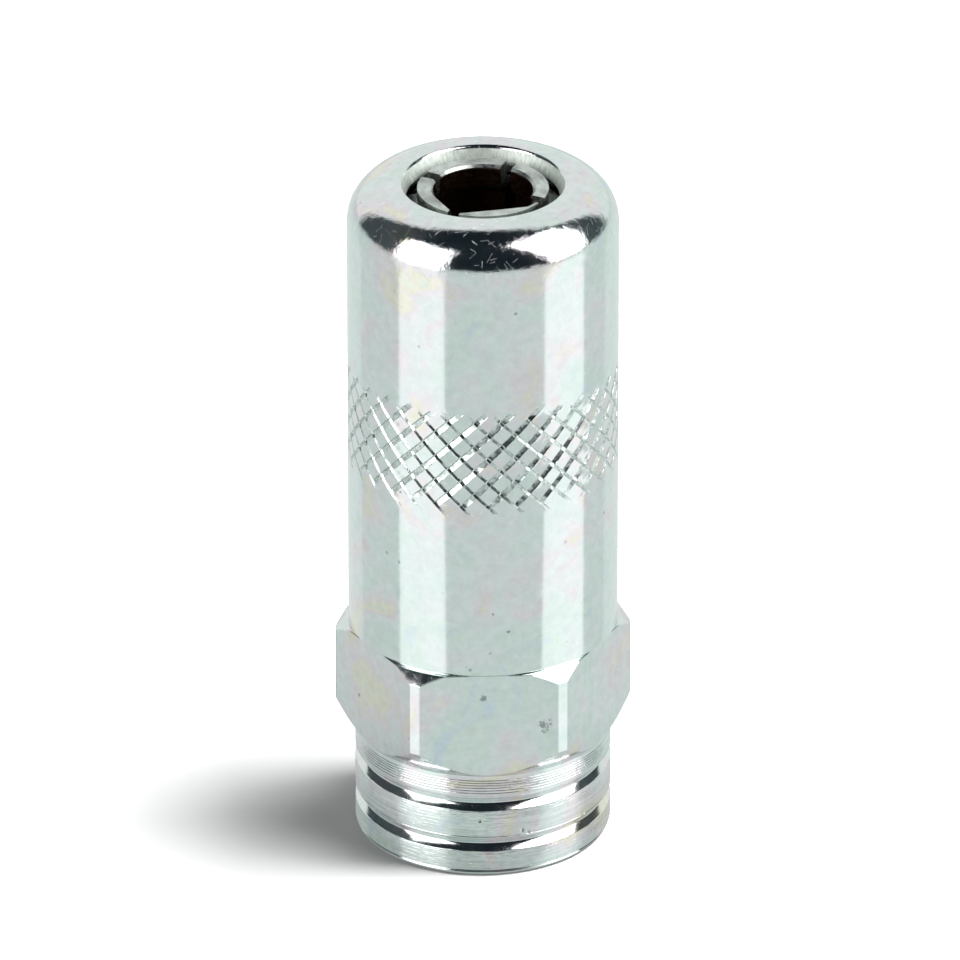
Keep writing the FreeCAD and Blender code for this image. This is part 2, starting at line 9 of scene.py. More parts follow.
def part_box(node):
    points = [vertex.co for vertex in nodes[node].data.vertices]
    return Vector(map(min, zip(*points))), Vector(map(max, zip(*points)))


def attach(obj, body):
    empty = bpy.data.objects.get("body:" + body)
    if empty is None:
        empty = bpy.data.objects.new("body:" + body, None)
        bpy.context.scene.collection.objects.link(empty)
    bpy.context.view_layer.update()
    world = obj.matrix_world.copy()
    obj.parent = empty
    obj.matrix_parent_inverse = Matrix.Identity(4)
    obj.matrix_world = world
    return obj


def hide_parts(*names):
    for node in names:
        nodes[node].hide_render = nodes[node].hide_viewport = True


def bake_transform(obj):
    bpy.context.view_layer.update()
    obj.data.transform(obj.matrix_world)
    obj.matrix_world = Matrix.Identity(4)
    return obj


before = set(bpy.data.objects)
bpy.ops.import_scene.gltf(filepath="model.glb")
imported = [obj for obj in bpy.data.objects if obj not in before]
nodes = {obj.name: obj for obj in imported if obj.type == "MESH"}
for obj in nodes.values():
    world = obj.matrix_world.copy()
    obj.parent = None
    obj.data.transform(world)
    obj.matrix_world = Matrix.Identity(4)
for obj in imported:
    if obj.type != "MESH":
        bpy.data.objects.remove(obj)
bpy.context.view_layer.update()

# Rear adapter. Hexagon bar of free-cutting steel, turned to a grooved shank below and a spigot
# above, bored and tapped for the grease hose, then zinc plated and clear passivated. It carries
# everything else: the valve drops into it and the sleeve screws onto its spigot.
# Sizes in this file are millimetres, and MM makes them metres. In the studio, a size without MM
# is in metres.
MM = 0.001
FULL_TURN = 2 * math.pi
ROUND_FACES = 192
# Degrees of a rounded corner that one facet takes, and how near a cut a corner counts as on it.
ARC_STEP = 6
CUT_TOLERANCE = 1e-5


def softened(outline):
    """An outline of (radius, height) corners, where a third number rounds the corner off."""
    points = []
    for index, corner in enumerate(outline):
        if len(corner) == 2:
            points.append(corner)
            continue
        here = Vector(corner[:2])
        before = (Vector(outline[index - 1][:2]) - here).normalized()
        after = (Vector(outline[(index + 1) % len(outline)][:2]) - here).normalized()
        half = before.angle(after) / 2
        reach = corner[2] / math.tan(half)
        centre = here + (before + after).normalized() * corner[2] / math.sin(half)
        first, last = here + before * reach - centre, here + after * reach - centre
        sweep = first.angle_signed(last)
        steps = max(2, round(abs(sweep) / math.radians(ARC_STEP)))
        for step in range(steps + 1):
            turn = Matrix.Rotation(-sweep * step / steps, 2)
            points.append(tuple(centre + turn @ first))
    return points


def polar(radius, bearing, height):
    """The point at a radius and a bearing, in radians, about the axis."""
    return radius * math.cos(bearing), radius * math.sin(bearing), height


def turn_on_lathe(bm, outline, closed):
    """Turns an outline about the axis. Returns the first and last rings of corners."""
    rings = []
    for radius, height in outline:
        ring = []
        for step in range(ROUND_FACES):
            bearing = FULL_TURN * step / ROUND_FACES
            ring.append(bm.verts.new(polar(radius, bearing, height)))
        rings.append(ring)
    pairs = list(zip(rings, rings[1:]))
    if closed:
        pairs.append((rings[-1], rings[0]))
    for low, high in pairs:
        for step in range(ROUND_FACES):
            after = (step + 1) % ROUND_FACES
            bm.faces.new((low[step], low[after], high[after], high[step]))
    return rings[0], rings[-1]


def bearing_of(vert):
    """Angle of a corner about the axis, from 0 to a full turn."""
    return math.atan2(vert.co.y, vert.co.x) % FULL_TURN


def join_rims(bm, one, other):
    """Closes the narrow strip between two rims whose corners are spaced differently."""
    rims = [sorted(rim, key=bearing_of) for rim in (one, other)]
    place = [0, 0]
    while place != [len(rims[0]), len(rims[1])]:
        ahead = []
        for rim, at in zip(rims, place):
            lap, index = divmod(at + 1, len(rim))
            done = at == len(rim)
            ahead.append(math.inf if done else bearing_of(rim[index]) + lap * FULL_TURN)
        side = 0 if ahead[0] < ahead[1] else 1
        corners = [rim[at % len(rim)] for rim, at in zip(rims, place)]
        corners.append(rims[side][(place[side] + 1) % len(rims[side])])
        bm.faces.new(corners)
        place[side] += 1


def cut_away(bm, point, outward, kind):
    """Cuts the mesh through a point and clears its outward side. Returns what lies on the cut, of
    one kind: corners or edges."""
    cut = bmesh.ops.bisect_plane(
        bm, geom=bm.verts[:] + bm.edges[:] + bm.faces[:], dist=CUT_TOLERANCE,
        plane_co=point, plane_no=outward, clear_outer=True,
    )
    return [item for item in cut["geom_cut"] if isinstance(item, kind)]


def trim_level(bm, height, upward, radius):
    """Cuts away what is past a height and returns the rim left there, set on its radius."""
    side = (0, 0, 1 if upward else -1)
    rim = cut_away(bm, (0, 0, height), side, bmesh.types.BMVert)
    for vert in rim:
        scale = radius / math.hypot(vert.co.x, vert.co.y)
        vert.co = (vert.co.x * scale, vert.co.y * scale, height)
    return rim


def finish_piece(name, bm, sharp_angle):
    """Makes the object from a mesh in millimetres, with edges over sharp_angle degrees kept crisp."""
    bmesh.ops.recalc_face_normals(bm, faces=bm.faces[:])
    bmesh.ops.scale(bm, vec=(MM, MM, MM), verts=bm.verts[:])
    mesh = bpy.data.meshes.new(name)
    bm.to_mesh(mesh)
    bm.free()
    mesh.shade_smooth()
    mesh.set_sharp_from_angle(angle=math.radians(sharp_angle))
    piece = bpy.data.objects.new(name, mesh)
    bpy.context.scene.collection.objects.link(piece)
    return piece


# The hose thread: M10 x 1, tapped, crests at the bore and roots at the major diameter. It fades
# over the run-out at both ends.
INLET_RADIUS = 4.46
INLET_THREAD_DEPTH = 0.54
INLET_THREAD_PITCH = 1.0
INLET_CHAMFER = 0.6
INLET_THREAD_TOP = 7.2
INLET_RUN_OUT = 0.7
# Share of the depth at eight rows across one pitch: flat crest, flank, narrow root, flank.
THREAD_ROWS = (0, 0, 0.35, 0.8, 1, 0.8, 0.35, 0)


def tap_inlet(bm):
    """The hose thread's helix between its lead-in and its run-out. Returns its two rims."""
    rows = len(THREAD_ROWS)
    first = -rows
    last = round((INLET_THREAD_TOP / INLET_THREAD_PITCH + 1) * rows)
    verts = {}
    for row in range(first, last + rows + 2):
        for step in range(ROUND_FACES):
            height = INLET_THREAD_PITCH * (row / rows + step / ROUND_FACES)
            ends = min(height - INLET_CHAMFER, INLET_THREAD_TOP - height) / INLET_RUN_OUT
            depth = INLET_THREAD_DEPTH * THREAD_ROWS[row % rows] * min(1, max(0, ends))
            bearing = FULL_TURN * step / ROUND_FACES
            verts[row, step] = bm.verts.new(polar(INLET_RADIUS + depth, bearing, height))
    for row in range(first, last + 1):
        for step in range(ROUND_FACES):
            lap = rows if step == ROUND_FACES - 1 else 0
            after = (step + 1) % ROUND_FACES
            bm.faces.new((
                verts[row, step], verts[row + lap, after],
                verts[row + lap + 1, after], verts[row + 1, step],
            ))
    low = trim_level(bm, INLET_CHAMFER, False, INLET_RADIUS)
    high = trim_level(bm, INLET_THREAD_TOP, True, INLET_RADIUS)
    return low, high


# The shank: two grooves with steep sides, and thin marks left by the turning tool.
SHANK_RADIUS = 7.38
SHANK_TOP = 6.5
SHANK_FOOT = 0.4
# Half of a groove's section from its lip to its bottom: distance from the middle, and depth.
GROOVE_SECTION = (
    (0.46, 0), (0.42, 0.012), (0.30, 0.138), (0.18, 0.252), (0.10, 0.316), (0.05, 0.344), (0, 0.353),
)
GROOVE_HEIGHTS = (4.65, 2.02)
TOOL_MARKS = (6.22, 6.06, 5.91, 5.74, 5.57, 5.40, 2.56)
TOOL_MARK_WIDTH = 0.05
TOOL_MARK_DEPTH = 0.014


def shank_outline():
    """The shank from the hexagon's cone down to just above the open end."""
    mark = ((TOOL_MARK_WIDTH / 2, 0), (0, TOOL_MARK_DEPTH))
    cuts = [(height, mark) for height in TOOL_MARKS]
    cuts += [(height, GROOVE_SECTION) for height in GROOVE_HEIGHTS]
    points = [(SHANK_RADIUS, SHANK_TOP)]
    for middle, section in sorted(cuts, reverse=True):
        points += [(SHANK_RADIUS - depth, middle + away) for away, depth in section]
        points += [(SHANK_RADIUS - depth, middle - away) for away, depth in reversed(section[:-1])]
    points.append((SHANK_RADIUS, SHANK_FOOT))
    return points


# The hexagon: across its flats and corners, its face with the bevel round it, and the two levels
# where the corners end, the upper at the bevel and the lower at the cone to the shank.
FLAT_RADIUS = 7.5
CORNER_RADIUS = 8.5
FACE_RADIUS = 7.9
HEX_TOP = 13.1
CORNER_TOP = 12.5
CORNER_FOOT = 8.04
FLAT_EDGE = 0.03
END_BEVEL = 0.25
# The way of the grease: the blind end of the hose bore, the passage to the valve's 45 degree
# seat, the valve's chamber, the retainer's pocket, and the bore that guides the piston's tail.
HOSE_BORE_TOP = 8.0
PASSAGE_RADIUS = 1.2
SEAT_EDGE = 9.4
CHAMBER_RADIUS = 2.4
POCKET_RADIUS = 3.0
POCKET_FOOT = 15.18
POCKET_TOP = 15.78
TAIL_BORE_RADIUS = 4.2
# The spigot: a plain end, the sleeve's thread drawn at its pitch line, and an undercut.
SPIGOT_TOP = 21.0
SPIGOT_BEVEL = 0.3
PLAIN_END_RADIUS = 5.9
JOINT_THREAD_RADIUS = 6.125
JOINT_THREAD_TOP = 19.6
UNDERCUT_RADIUS = 5.675
UNDERCUT_TOP = 14.1

inside_and_hexagon = softened([
    (INLET_RADIUS, INLET_THREAD_TOP + 0.1),
    (INLET_RADIUS, HOSE_BORE_TOP),
    (PASSAGE_RADIUS, HOSE_BORE_TOP, 0.1),
    (PASSAGE_RADIUS, SEAT_EDGE),
    (CHAMBER_RADIUS, SEAT_EDGE + CHAMBER_RADIUS - PASSAGE_RADIUS),
    (CHAMBER_RADIUS, POCKET_FOOT),
    (POCKET_RADIUS, POCKET_FOOT),
    (POCKET_RADIUS, POCKET_TOP),
    (TAIL_BORE_RADIUS, POCKET_TOP),
    (TAIL_BORE_RADIUS, SPIGOT_TOP - SPIGOT_BEVEL),
    (TAIL_BORE_RADIUS + SPIGOT_BEVEL, SPIGOT_TOP),
    (PLAIN_END_RADIUS - SPIGOT_BEVEL, SPIGOT_TOP),
    (PLAIN_END_RADIUS, SPIGOT_TOP - SPIGOT_BEVEL),
    (PLAIN_END_RADIUS, JOINT_THREAD_TOP),
    (JOINT_THREAD_RADIUS, JOINT_THREAD_TOP),
    (JOINT_THREAD_RADIUS, UNDERCUT_TOP),
    (UNDERCUT_RADIUS, UNDERCUT_TOP),
    (UNDERCUT_RADIUS, HEX_TOP),
    (FACE_RADIUS, HEX_TOP, 0.04),
    (CORNER_RADIUS, CORNER_TOP, 0.08),
    (CORNER_RADIUS, CORNER_FOOT, 0.1),
    (SHANK_RADIUS + 0.03, SHANK_TOP + 0.02, 0.05),
])
open_end = softened([
    (SHANK_RADIUS, END_BEVEL, 0.06),
    (SHANK_RADIUS - END_BEVEL, 0, 0.05),
    (INLET_RADIUS + INLET_CHAMFER, 0, 0.05),
    (INLET_RADIUS + 0.03, INLET_CHAMFER - 0.03),
])


def mill_flats(bm):
    """Mills the six flats with a slightly broken edge."""
    edges = set()
    for flat in range(6):
        side = Vector(polar(1, math.radians(30 + 60 * flat), 0))
        rim = cut_away(bm, side * FLAT_RADIUS, side, bmesh.types.BMEdge)
        bmesh.ops.holes_fill(bm, edges=rim)
        edges.update(rim)
    kept = [edge for edge in edges if edge.is_valid]
    bmesh.ops.bevel(bm, geom=kept, offset=FLAT_EDGE, segments=2, affect="EDGES")


bm = bmesh.new()
thread_low, thread_high = tap_inlet(bm)
upper, lower = turn_on_lathe(bm, inside_and_hexagon + shank_outline() + open_end, closed=False)
join_rims(bm, thread_high, upper)
join_rims(bm, thread_low, lower)
mill_flats(bm)
adapter = finish_piece("rear_adapter_turned", bm, 24)
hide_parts("rear_adapter")
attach(adapter, "housing")


def linear(hex_colour):
    """An sRGB hex colour as the linear colour that the shaders take."""
    channels = []
    for start in (1, 3, 5):
        share = int(hex_colour[start:start + 2], 16) / 255
        channels.append(share / 12.92 if share <= 0.04045 else ((share + 0.055) / 1.055) ** 2.4)
    return (*channels, 1)


def add_node(tree, kind, inputs=None, stops=None, **settings):
    """Adds a shader node of a kind. inputs are values, or the sockets they come from, or nodes,
    which stand for their first output in use. stops are a ramp's colours, the first two of which
    it has already."""
    node = tree.nodes.new("ShaderNode" + kind)
    for name, value in settings.items():
        setattr(node, name, value)
    for name, value in (inputs or {}).items():
        if isinstance(value, bpy.types.Node):
            value = next(output for output in value.outputs if output.enabled)
        if isinstance(value, bpy.types.NodeSocket):
            tree.links.new(value, node.inputs[name])
        else:
            node.inputs[name].default_value = value
    for index, (position, colour) in enumerate(stops or []):
        ramp = node.color_ramp.elements
        element = ramp[index] if index < 2 else ramp.new(position)
        element.position = position
        element.color = linear(colour)
    return node


def new_finish(name):
    """An empty material with its shader and the piece's own coordinates, in metres."""
    material = bpy.data.materials.new(name)
    material.use_nodes = True
    tree = material.node_tree
    tree.nodes.clear()
    shader = add_node(tree, "BsdfPrincipled")
    add_node(tree, "OutputMaterial", {"Surface": shader})
    place = add_node(tree, "TexCoord").outputs["Object"]
    return material, tree, shader, place


# The plate's patterns as counts per metre. Colour clouds are about 4 mm across, the grain 0.6 mm
# and the turning tool's rings 0.14 mm apart. A pit can lie in each 1.1 mm, in groups of 3 mm. The
# dirt is broken up by the quarter millimetre.
CLOUDS = 0.24 / MM
GRAIN = 1.6 / MM
RINGS = 7 / MM
PITS = 0.9 / MM
PIT_GROUPS = 0.3 / MM
DIRT_SPECKS = 4.2 / MM
# How dirty the pits are, from 0 to 1.
PIT_DIRT = 0.6
# Cloud colours of the clear passivation, by their place on the ramp.
CLOUD_COLOURS = [
    (0.30, "#dbe5ef"), (0.46, "#e5ebeb"), (0.38, "#e2ebe6"), (0.54, "#e9eaeb"),
    (0.60, "#ede4ea"), (0.67, "#efe9da"), (0.76, "#e3ece6"),
]
# Scratches in three sizes: cells per millimetre, a scratch's length and half width, and the share
# of cells with one that rubbing adds to the share that all of the plate has.
SCRATCHES = (
    (0.52, 1.5, 0.0022, 0.2), (1.0, 0.7, 0.002, 0.3), (2.1, 0.4, 0.002, 0.45),
)
SCRATCHED_SHARE = 0.12


def hairline_scratches(tree, place, rubbed):
    """How much of a spot is scratched, from 0 to 1. Each scratch is a short straight cut at its
    own slant in its own cell."""
    scratches = None
    for cells, length, width, share in SCRATCHES:
        cell = add_node(tree, "TexVoronoi", {"Vector": place, "Scale": cells / MM}, feature="F1")
        within = add_node(tree, "VectorMath", {0: place, 1: cell.outputs["Position"]}, operation="SUBTRACT")
        slant = add_node(tree, "VectorMath", {
            0: cell.outputs["Color"], 1: (0.5, 0.5, 0.5),
        }, operation="SUBTRACT")
        across = add_node(tree, "VectorMath", {0: slant}, operation="NORMALIZE")
        offset = add_node(tree, "VectorMath", {0: within, 1: across}, operation="DOT_PRODUCT")
        away = add_node(tree, "Math", {0: offset}, operation="ABSOLUTE")
        line = add_node(tree, "MapRange", {
            "Value": away, "From Min": width * MM, "From Max": width * MM * 2.2,
            "To Min": 1, "To Max": 0,
        })
        along = add_node(tree, "VectorMath", {0: within}, operation="LENGTH")
        ends = add_node(tree, "MapRange", {
            "Value": along, "From Min": length * MM * 0.35, "From Max": length * MM * 0.5,
            "To Min": 1, "To Max": 0,
        })
        chance = add_node(tree, "SeparateXYZ", {"Vector": cell.outputs["Color"]})
        kept = add_node(tree, "Math", {0: rubbed, 1: share, 2: SCRATCHED_SHARE}, operation="MULTIPLY_ADD")
        there = add_node(tree, "Math", {0: chance.outputs["X"], 1: kept}, operation="LESS_THAN")
        mark = add_node(tree, "Math", {0: line, 1: ends}, operation="MULTIPLY")
        mark = add_node(tree, "Math", {0: mark, 1: there}, operation="MULTIPLY")
        if scratches:
            mark = add_node(tree, "Math", {0: scratches, 1: mark}, operation="MAXIMUM")
        scratches = mark
    return scratches


def turning_rings(tree, place, level, shank):
    """The turning tool's fine rings, and the mask of where they show: on the outside of the shank,
    below the level shank."""
    flat = add_node(tree, "VectorMath", {0: place, 1: (0.04, 0.04, 1)}, operation="MULTIPLY")
    rings = add_node(tree, "TexNoise", {"Vector": flat, "Scale": RINGS, "Detail": 3, "Roughness": 0.7})
    under = add_node(tree, "MapRange", {
        "Value": level, "From Min": (shank + 0.1) * MM, "From Max": (shank - 0.1) * MM,
    })
    sideways = add_node(tree, "VectorMath", {0: place, 1: (1, 1, 0)}, operation="MULTIPLY")
    reach = add_node(tree, "VectorMath", {0: sideways}, operation="LENGTH")
    outside = add_node(tree, "MapRange", {
        "Value": reach,
        "From Min": (SHANK_RADIUS - 0.05) * MM, "From Max": (SHANK_RADIUS - 0.01) * MM,
    })
    on_shank = add_node(tree, "Math", {0: under, 1: outside}, operation="MULTIPLY")
    return rings, on_shank


def scattered_pits(tree, place):
    """Pits of the plating: dark specks a fifth of a millimetre wide, in scattered groups."""
    speck = add_node(tree, "TexVoronoi", {"Vector": place, "Scale": PITS}, feature="F1")
    group = add_node(tree, "TexNoise", {"Vector": place, "Scale": PIT_GROUPS, "Detail": 2})
    near = add_node(tree, "MapRange", {
        "Value": speck.outputs["Distance"], "From Min": 0.05, "From Max": 0.13, "To Min": 1, "To Max": 0,
    })
    some = add_node(tree, "MapRange", {"Value": group, "From Min": 0.57, "From Max": 0.64})
    return add_node(tree, "Math", {0: near, 1: some}, operation="MULTIPLY")


def dirt_on_plate(tree, place, pits, smudges):
    """How dirty a spot is, from 0 to 1: in the pits, and in each ragged smudge."""
    soiled = add_node(tree, "Math", {0: pits, 1: PIT_DIRT}, operation="MULTIPLY")
    fine = add_node(tree, "TexNoise", {
        "Vector": place, "Scale": DIRT_SPECKS, "Detail": 4, "Roughness": 0.6,
    })
    for x, y, z, size in smudges:
        from_middle = add_node(tree, "VectorMath", {
            0: place, 1: (x * MM, y * MM, z * MM),
        }, operation="DISTANCE")
        close = add_node(tree, "MapRange", {
            "Value": from_middle, "From Min": size * MM, "From Max": 0,
            "To Min": -0.22, "To Max": 0.2,
        })
        ragged = add_node(tree, "Math", {0: close, 1: fine}, operation="ADD")
        stain = add_node(tree, "MapRange", {
            "Value": ragged, "From Min": 0.50, "From Max": 0.64, "To Max": 0.6,
        })
        soiled = add_node(tree, "Math", {0: stain, 1: soiled}, operation="MAXIMUM")
    return soiled


def clear_zinc_plate(name, roughness, nose, shank, smudges):
    """Zinc plate with a clear blue passivation on turned steel: a pale cool mirror, faintly
    clouded, with thin-film pinks and yellows, a few dark pits and hairline scratches. It is rubbed
    above the level nose, shows the tool's fine rings below the level shank, and has a smudge of
    dirt at each of some places, given as x, y, z and radius in millimetres."""
    material, tree, shader, place = new_finish(name)
    shader.inputs["Metallic"].default_value = 1
    cloud = add_node(tree, "TexNoise", {
        "Vector": place, "Scale": CLOUDS, "Detail": 3, "Roughness": 0.55, "Distortion": 0.9,
    })
    tint = add_node(tree, "ValToRGB", {"Fac": cloud}, stops=CLOUD_COLOURS)
    grain = add_node(tree, "TexNoise", {
        "Vector": place, "Scale": GRAIN, "Detail": 6, "Roughness": 0.62, "Distortion": 0.4,
    })
    mottle = add_node(tree, "MapRange", {
        "Value": grain, "From Min": 0.3, "From Max": 0.7, "To Min": 0.92, "To Max": 1.04,
    })
    level = add_node(tree, "SeparateXYZ", {"Vector": place}).outputs["Z"]
    rings, on_shank = turning_rings(tree, place, level, shank)
    ring_shade = add_node(tree, "MapRange", {
        "Value": rings, "From Min": 0.3, "From Max": 0.7, "To Min": -0.10, "To Max": 0.09,
    })
    shade = add_node(tree, "Math", {0: ring_shade, 1: on_shank, 2: mottle}, operation="MULTIPLY_ADD")
    base = add_node(tree, "VectorMath", {0: tint, "Scale": shade}, operation="SCALE")
    pits = scattered_pits(tree, place)
    colour = add_node(tree, "Mix", {
        "Factor": dirt_on_plate(tree, place, pits, smudges),
        "A": base, "B": linear("#4f5854"),
    }, data_type="RGBA")
    tree.links.new(colour.outputs["Result"], shader.inputs["Base Color"])
    rubbed = add_node(tree, "MapRange", {
        "Value": level, "From Min": (nose - 0.3) * MM, "From Max": (nose + 0.3) * MM,
    })
    scratches = hairline_scratches(tree, place, rubbed)
    # The relief adds up grain, scratches, rings and pits. It is strong on the shank and the nose.
    cut = add_node(tree, "Math", {0: scratches, 1: -0.45, 2: grain}, operation="MULTIPLY_ADD")
    ringed = add_node(tree, "Math", {0: rings, 1: 1.5}, operation="MULTIPLY")
    turned = add_node(tree, "Math", {0: ringed, 1: on_shank, 2: cut}, operation="MULTIPLY_ADD")
    relief = add_node(tree, "Math", {0: pits, 1: -2.0, 2: turned}, operation="MULTIPLY_ADD")
    worked = add_node(tree, "Math", {0: rubbed, 1: on_shank}, operation="MAXIMUM")
    force = add_node(tree, "MapRange", {"Value": worked, "To Min": 0.1, "To Max": 1})
    bump = add_node(tree, "Bump", {"Strength": force, "Distance": 0.02 * MM, "Height": relief})
    tree.links.new(bump.outputs["Normal"], shader.inputs["Normal"])
    # The turned shank and the scratches are duller than the plate round them.
    polish = add_node(tree, "MapRange", {
        "Value": grain, "From Min": 0.35, "From Max": 0.65,
        "To Min": roughness * 0.75, "To Max": roughness * 1.3,
    })
    duller = add_node(tree, "Math", {0: on_shank, 1: 0.06, 2: polish}, operation="MULTIPLY_ADD")
    dull = add_node(tree, "Math", {0: scratches, 1: 0.1, 2: duller}, operation="MULTIPLY_ADD")
    tree.links.new(dull.outputs["Value"], shader.inputs["Roughness"])
    return material


# The adapter isn't rubbed anywhere, so its nose level is set above the part.
adapter.data.materials.append(clear_zinc_plate(
    "clear_zinc_plate_on_turned_bar", 0.11, nose=60, shank=6.4,
    smudges=((3.3, -7.5, 9.9, 0.75), (-0.3, -7.5, 11.7, 0.45)),
))

# Check valve in the adapter's chamber: a polished bearing ball on the seat, a light wire spring on
# the ball, and a punched steel disc pressed over both. Grease lifts the ball and passes the disc.
CHECK_WIRE = 0.34
CHECK_MEAN_RADIUS = 1.2
CHECK_TURNS = 4.5


def even_grain(name, colour, grain, detail, shades, dullness, relief):
    """A finish of one colour with one fine even noise, counted per metre. The noise varies the
    shade and the roughness, each between two limits, and the relief, by its strength and depth."""
    material, tree, shader, place = new_finish(name)
    noise = add_node(tree, "TexNoise", {"Vector": place, "Scale": grain, "Detail": detail})
    shade = add_node(tree, "MapRange", {"Value": noise, "To Min": shades[0], "To Max": shades[1]})
    base = add_node(tree, "VectorMath", {0: linear(colour)[:3], "Scale": shade}, operation="SCALE")
    tree.links.new(base.outputs["Vector"], shader.inputs["Base Color"])
    dull = add_node(tree, "MapRange", {"Value": noise, "To Min": dullness[0], "To Max": dullness[1]})
    tree.links.new(dull.outputs["Result"], shader.inputs["Roughness"])
    bump = add_node(tree, "Bump", {"Strength": relief[0], "Distance": relief[1] * MM, "Height": noise})
    tree.links.new(bump.outputs["Normal"], shader.inputs["Normal"])
    return material, shader


def drawn_steel(name, colour, roughness, grain):
    """Plain bright steel, drawn, punched or ground: grey mirror with a fine even haze, given as
    grains per millimetre."""
    dullness = (roughness * 0.8, roughness * 1.3)
    material, shader = even_grain(name, colour, grain / MM, 4, (0.88, 1.06), dullness, (0.2, 0.005))
    shader.inputs["Metallic"].default_value = 1
    return material


# The springs' wire has a section of so many sides, placed so many times a turn. So much of a turn
# lies flat at each end.
WIRE_SIDES = 12
PLACES_PER_TURN = 36
CLOSED_TURN = 0.75


def wind_spring(name, wire, mean_radius, foot, top, turns):
    """A wire spring wound about the axis, its end coils closed and ground flat."""
    bm = bmesh.new()
    count = round(turns * PLACES_PER_TURN)
    climb = top - foot - wire
    rings = []
    for step in range(count + 1):
        turn = step / PLACES_PER_TURN
        share = min(1, max(0, (turn - CLOSED_TURN) / (turns - 2 * CLOSED_TURN)))
        height = foot + wire / 2 + climb * share
        ring = []
        for side in range(WIRE_SIDES):
            lean = FULL_TURN * side / WIRE_SIDES
            radius = mean_radius + wire / 2 * math.cos(lean)
            level = height + wire / 2 * math.sin(lean)
            ring.append(bm.verts.new(polar(radius, FULL_TURN * turn, level)))
        rings.append(ring)
    for low, high in zip(rings, rings[1:]):
        for side in range(WIRE_SIDES):
            after = (side + 1) % WIRE_SIDES
            bm.faces.new((low[side], low[after], high[after], high[side]))
    bm.faces.new(rings[0])
    bm.faces.new(rings[-1])
    return finish_piece(name, bm, 40)


def node_levels(node):
    """A node's lowest and highest level, in millimetres."""
    low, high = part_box(node)
    return low.z / MM, high.z / MM


check_foot, check_top = node_levels("check_spring")
check_spring = wind_spring(
    "check_spring_wound", CHECK_WIRE, CHECK_MEAN_RADIUS, check_foot, check_top, CHECK_TURNS
)
spring_wire = drawn_steel("drawn_spring_wire", "#8f9092", 0.28, 2.6)
check_spring.data.materials.append(spring_wire)
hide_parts("check_spring")
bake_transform(check_spring)


def refinish(node, material):
    """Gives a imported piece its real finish."""
    for holder in nodes[node].material_slots:
        holder.material = material


refinish("check_ball", drawn_steel("ground_bearing_steel", "#d2d4d6", 0.06, 1.5))
refinish("check_spring_retainer", drawn_steel("punched_strip_steel", "#b4b6b5", 0.3, 1.9))

# Piston with its O-ring: turned from the same bar as the adapter and left bright, it slides in the
# spigot. The O-ring is moulded nitrile rubber, rolled into the piston's groove.
refinish("piston", drawn_steel("turned_piston_steel", "#a9aaa8", 0.26, 2.1))


def moulded_nitrile(name, colour, roughness):
    """Nitrile rubber from a polished mould: near black, a soft sheen and a faint grain of a third
    of a millimetre."""
    dullness = (roughness * 0.85, roughness * 1.2)
    material, shader = even_grain(name, colour, 3 / MM, 3, (0.7, 1.25), dullness, (0.25, 0.01))
    shader.inputs["IOR"].default_value = 1.52
    return material


refinish("piston_o_ring", moulded_nitrile("moulded_nitrile_cord", "#1c1c1d", 0.42))

# Main spring: hard-drawn wire with ground ends, between the spigot's end and the piston's flange.
# The real spring shortens when the piston is pushed back; this one is wound at its rest length.
MAIN_WIRE = 0.8
MAIN_MEAN_RADIUS = 5.3
MAIN_TURNS = 5.25
main_foot, main_top = node_levels("main_spring")
main_spring = wind_spring("main_spring_wound", MAIN_WIRE, MAIN_MEAN_RADIUS, main_foot, main_top, MAIN_TURNS)
main_spring.data.materials.append(spring_wire)
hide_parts("main_spring")
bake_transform(main_spring)

# Mouth seal: moulded rubber, pushed on the piston's peg, dished for the nipple's round head. Only
# its dark brownish front shows, deep between the jaws.
refinish("mouth_seal", moulded_nitrile("moulded_seal_rubber", "#241812", 0.36))

# Four jaws, sawn from one turned collet, hardened and tumbled, and the open spring ring that spreads
# them. Their bare tips show in the mouth, and further in a brown painted shade darkens them.
# The jaws' turn about the axis, in degrees, and the width of a saw cut and of a tumbled edge. An
# edge is tumbled if it turns by more than so many degrees.
JAW_TURN = 15.5
JAW_SLOT = 0.7
JAW_EDGE = 0.1
TUMBLED_ANGLE = 25
LIP_RADIUS = 2.85
jaw_foot, jaw_top = node_levels("jaw_right")
# Radius and height above the foot: foot, wedge face, tip, lip, pocket, spring groove, hook.
JAW_OUTLINE = [
    (3.2, 0), (5.2, 0), (5.45, 0.25), (5.45, 7.634), (4.6, 9.331), (3.74, 9.6), (3.74, 10.65),
    (LIP_RADIUS + 0.15, 10.65), (LIP_RADIUS, 10.5), (LIP_RADIUS, 9.35), (3.45, 8.75), (3.45, 4.59),
    (4.29, 4.59), (4.29, 3.57), (3.45, 3.57), (3.45, 3.07), (3.95, 3.07), (3.95, 1.27), (3.2, 1.27),
]
# Two lips are pressed straight: bearing of the middle of the straight edge, and how far to its
# right and left it reaches, all in degrees. Only what lies within the pressed radius, above the
# pressed height over the foot, moves, and no further out than the limit.
STRAIGHT_LIPS = {"left": (203.4, 0, 50), "front": (279.7, -50, 50)}
PRESSED_RADIUS = 3.1
PRESSED_HEIGHT = 9.2
PRESSED_LIMIT = 3.4


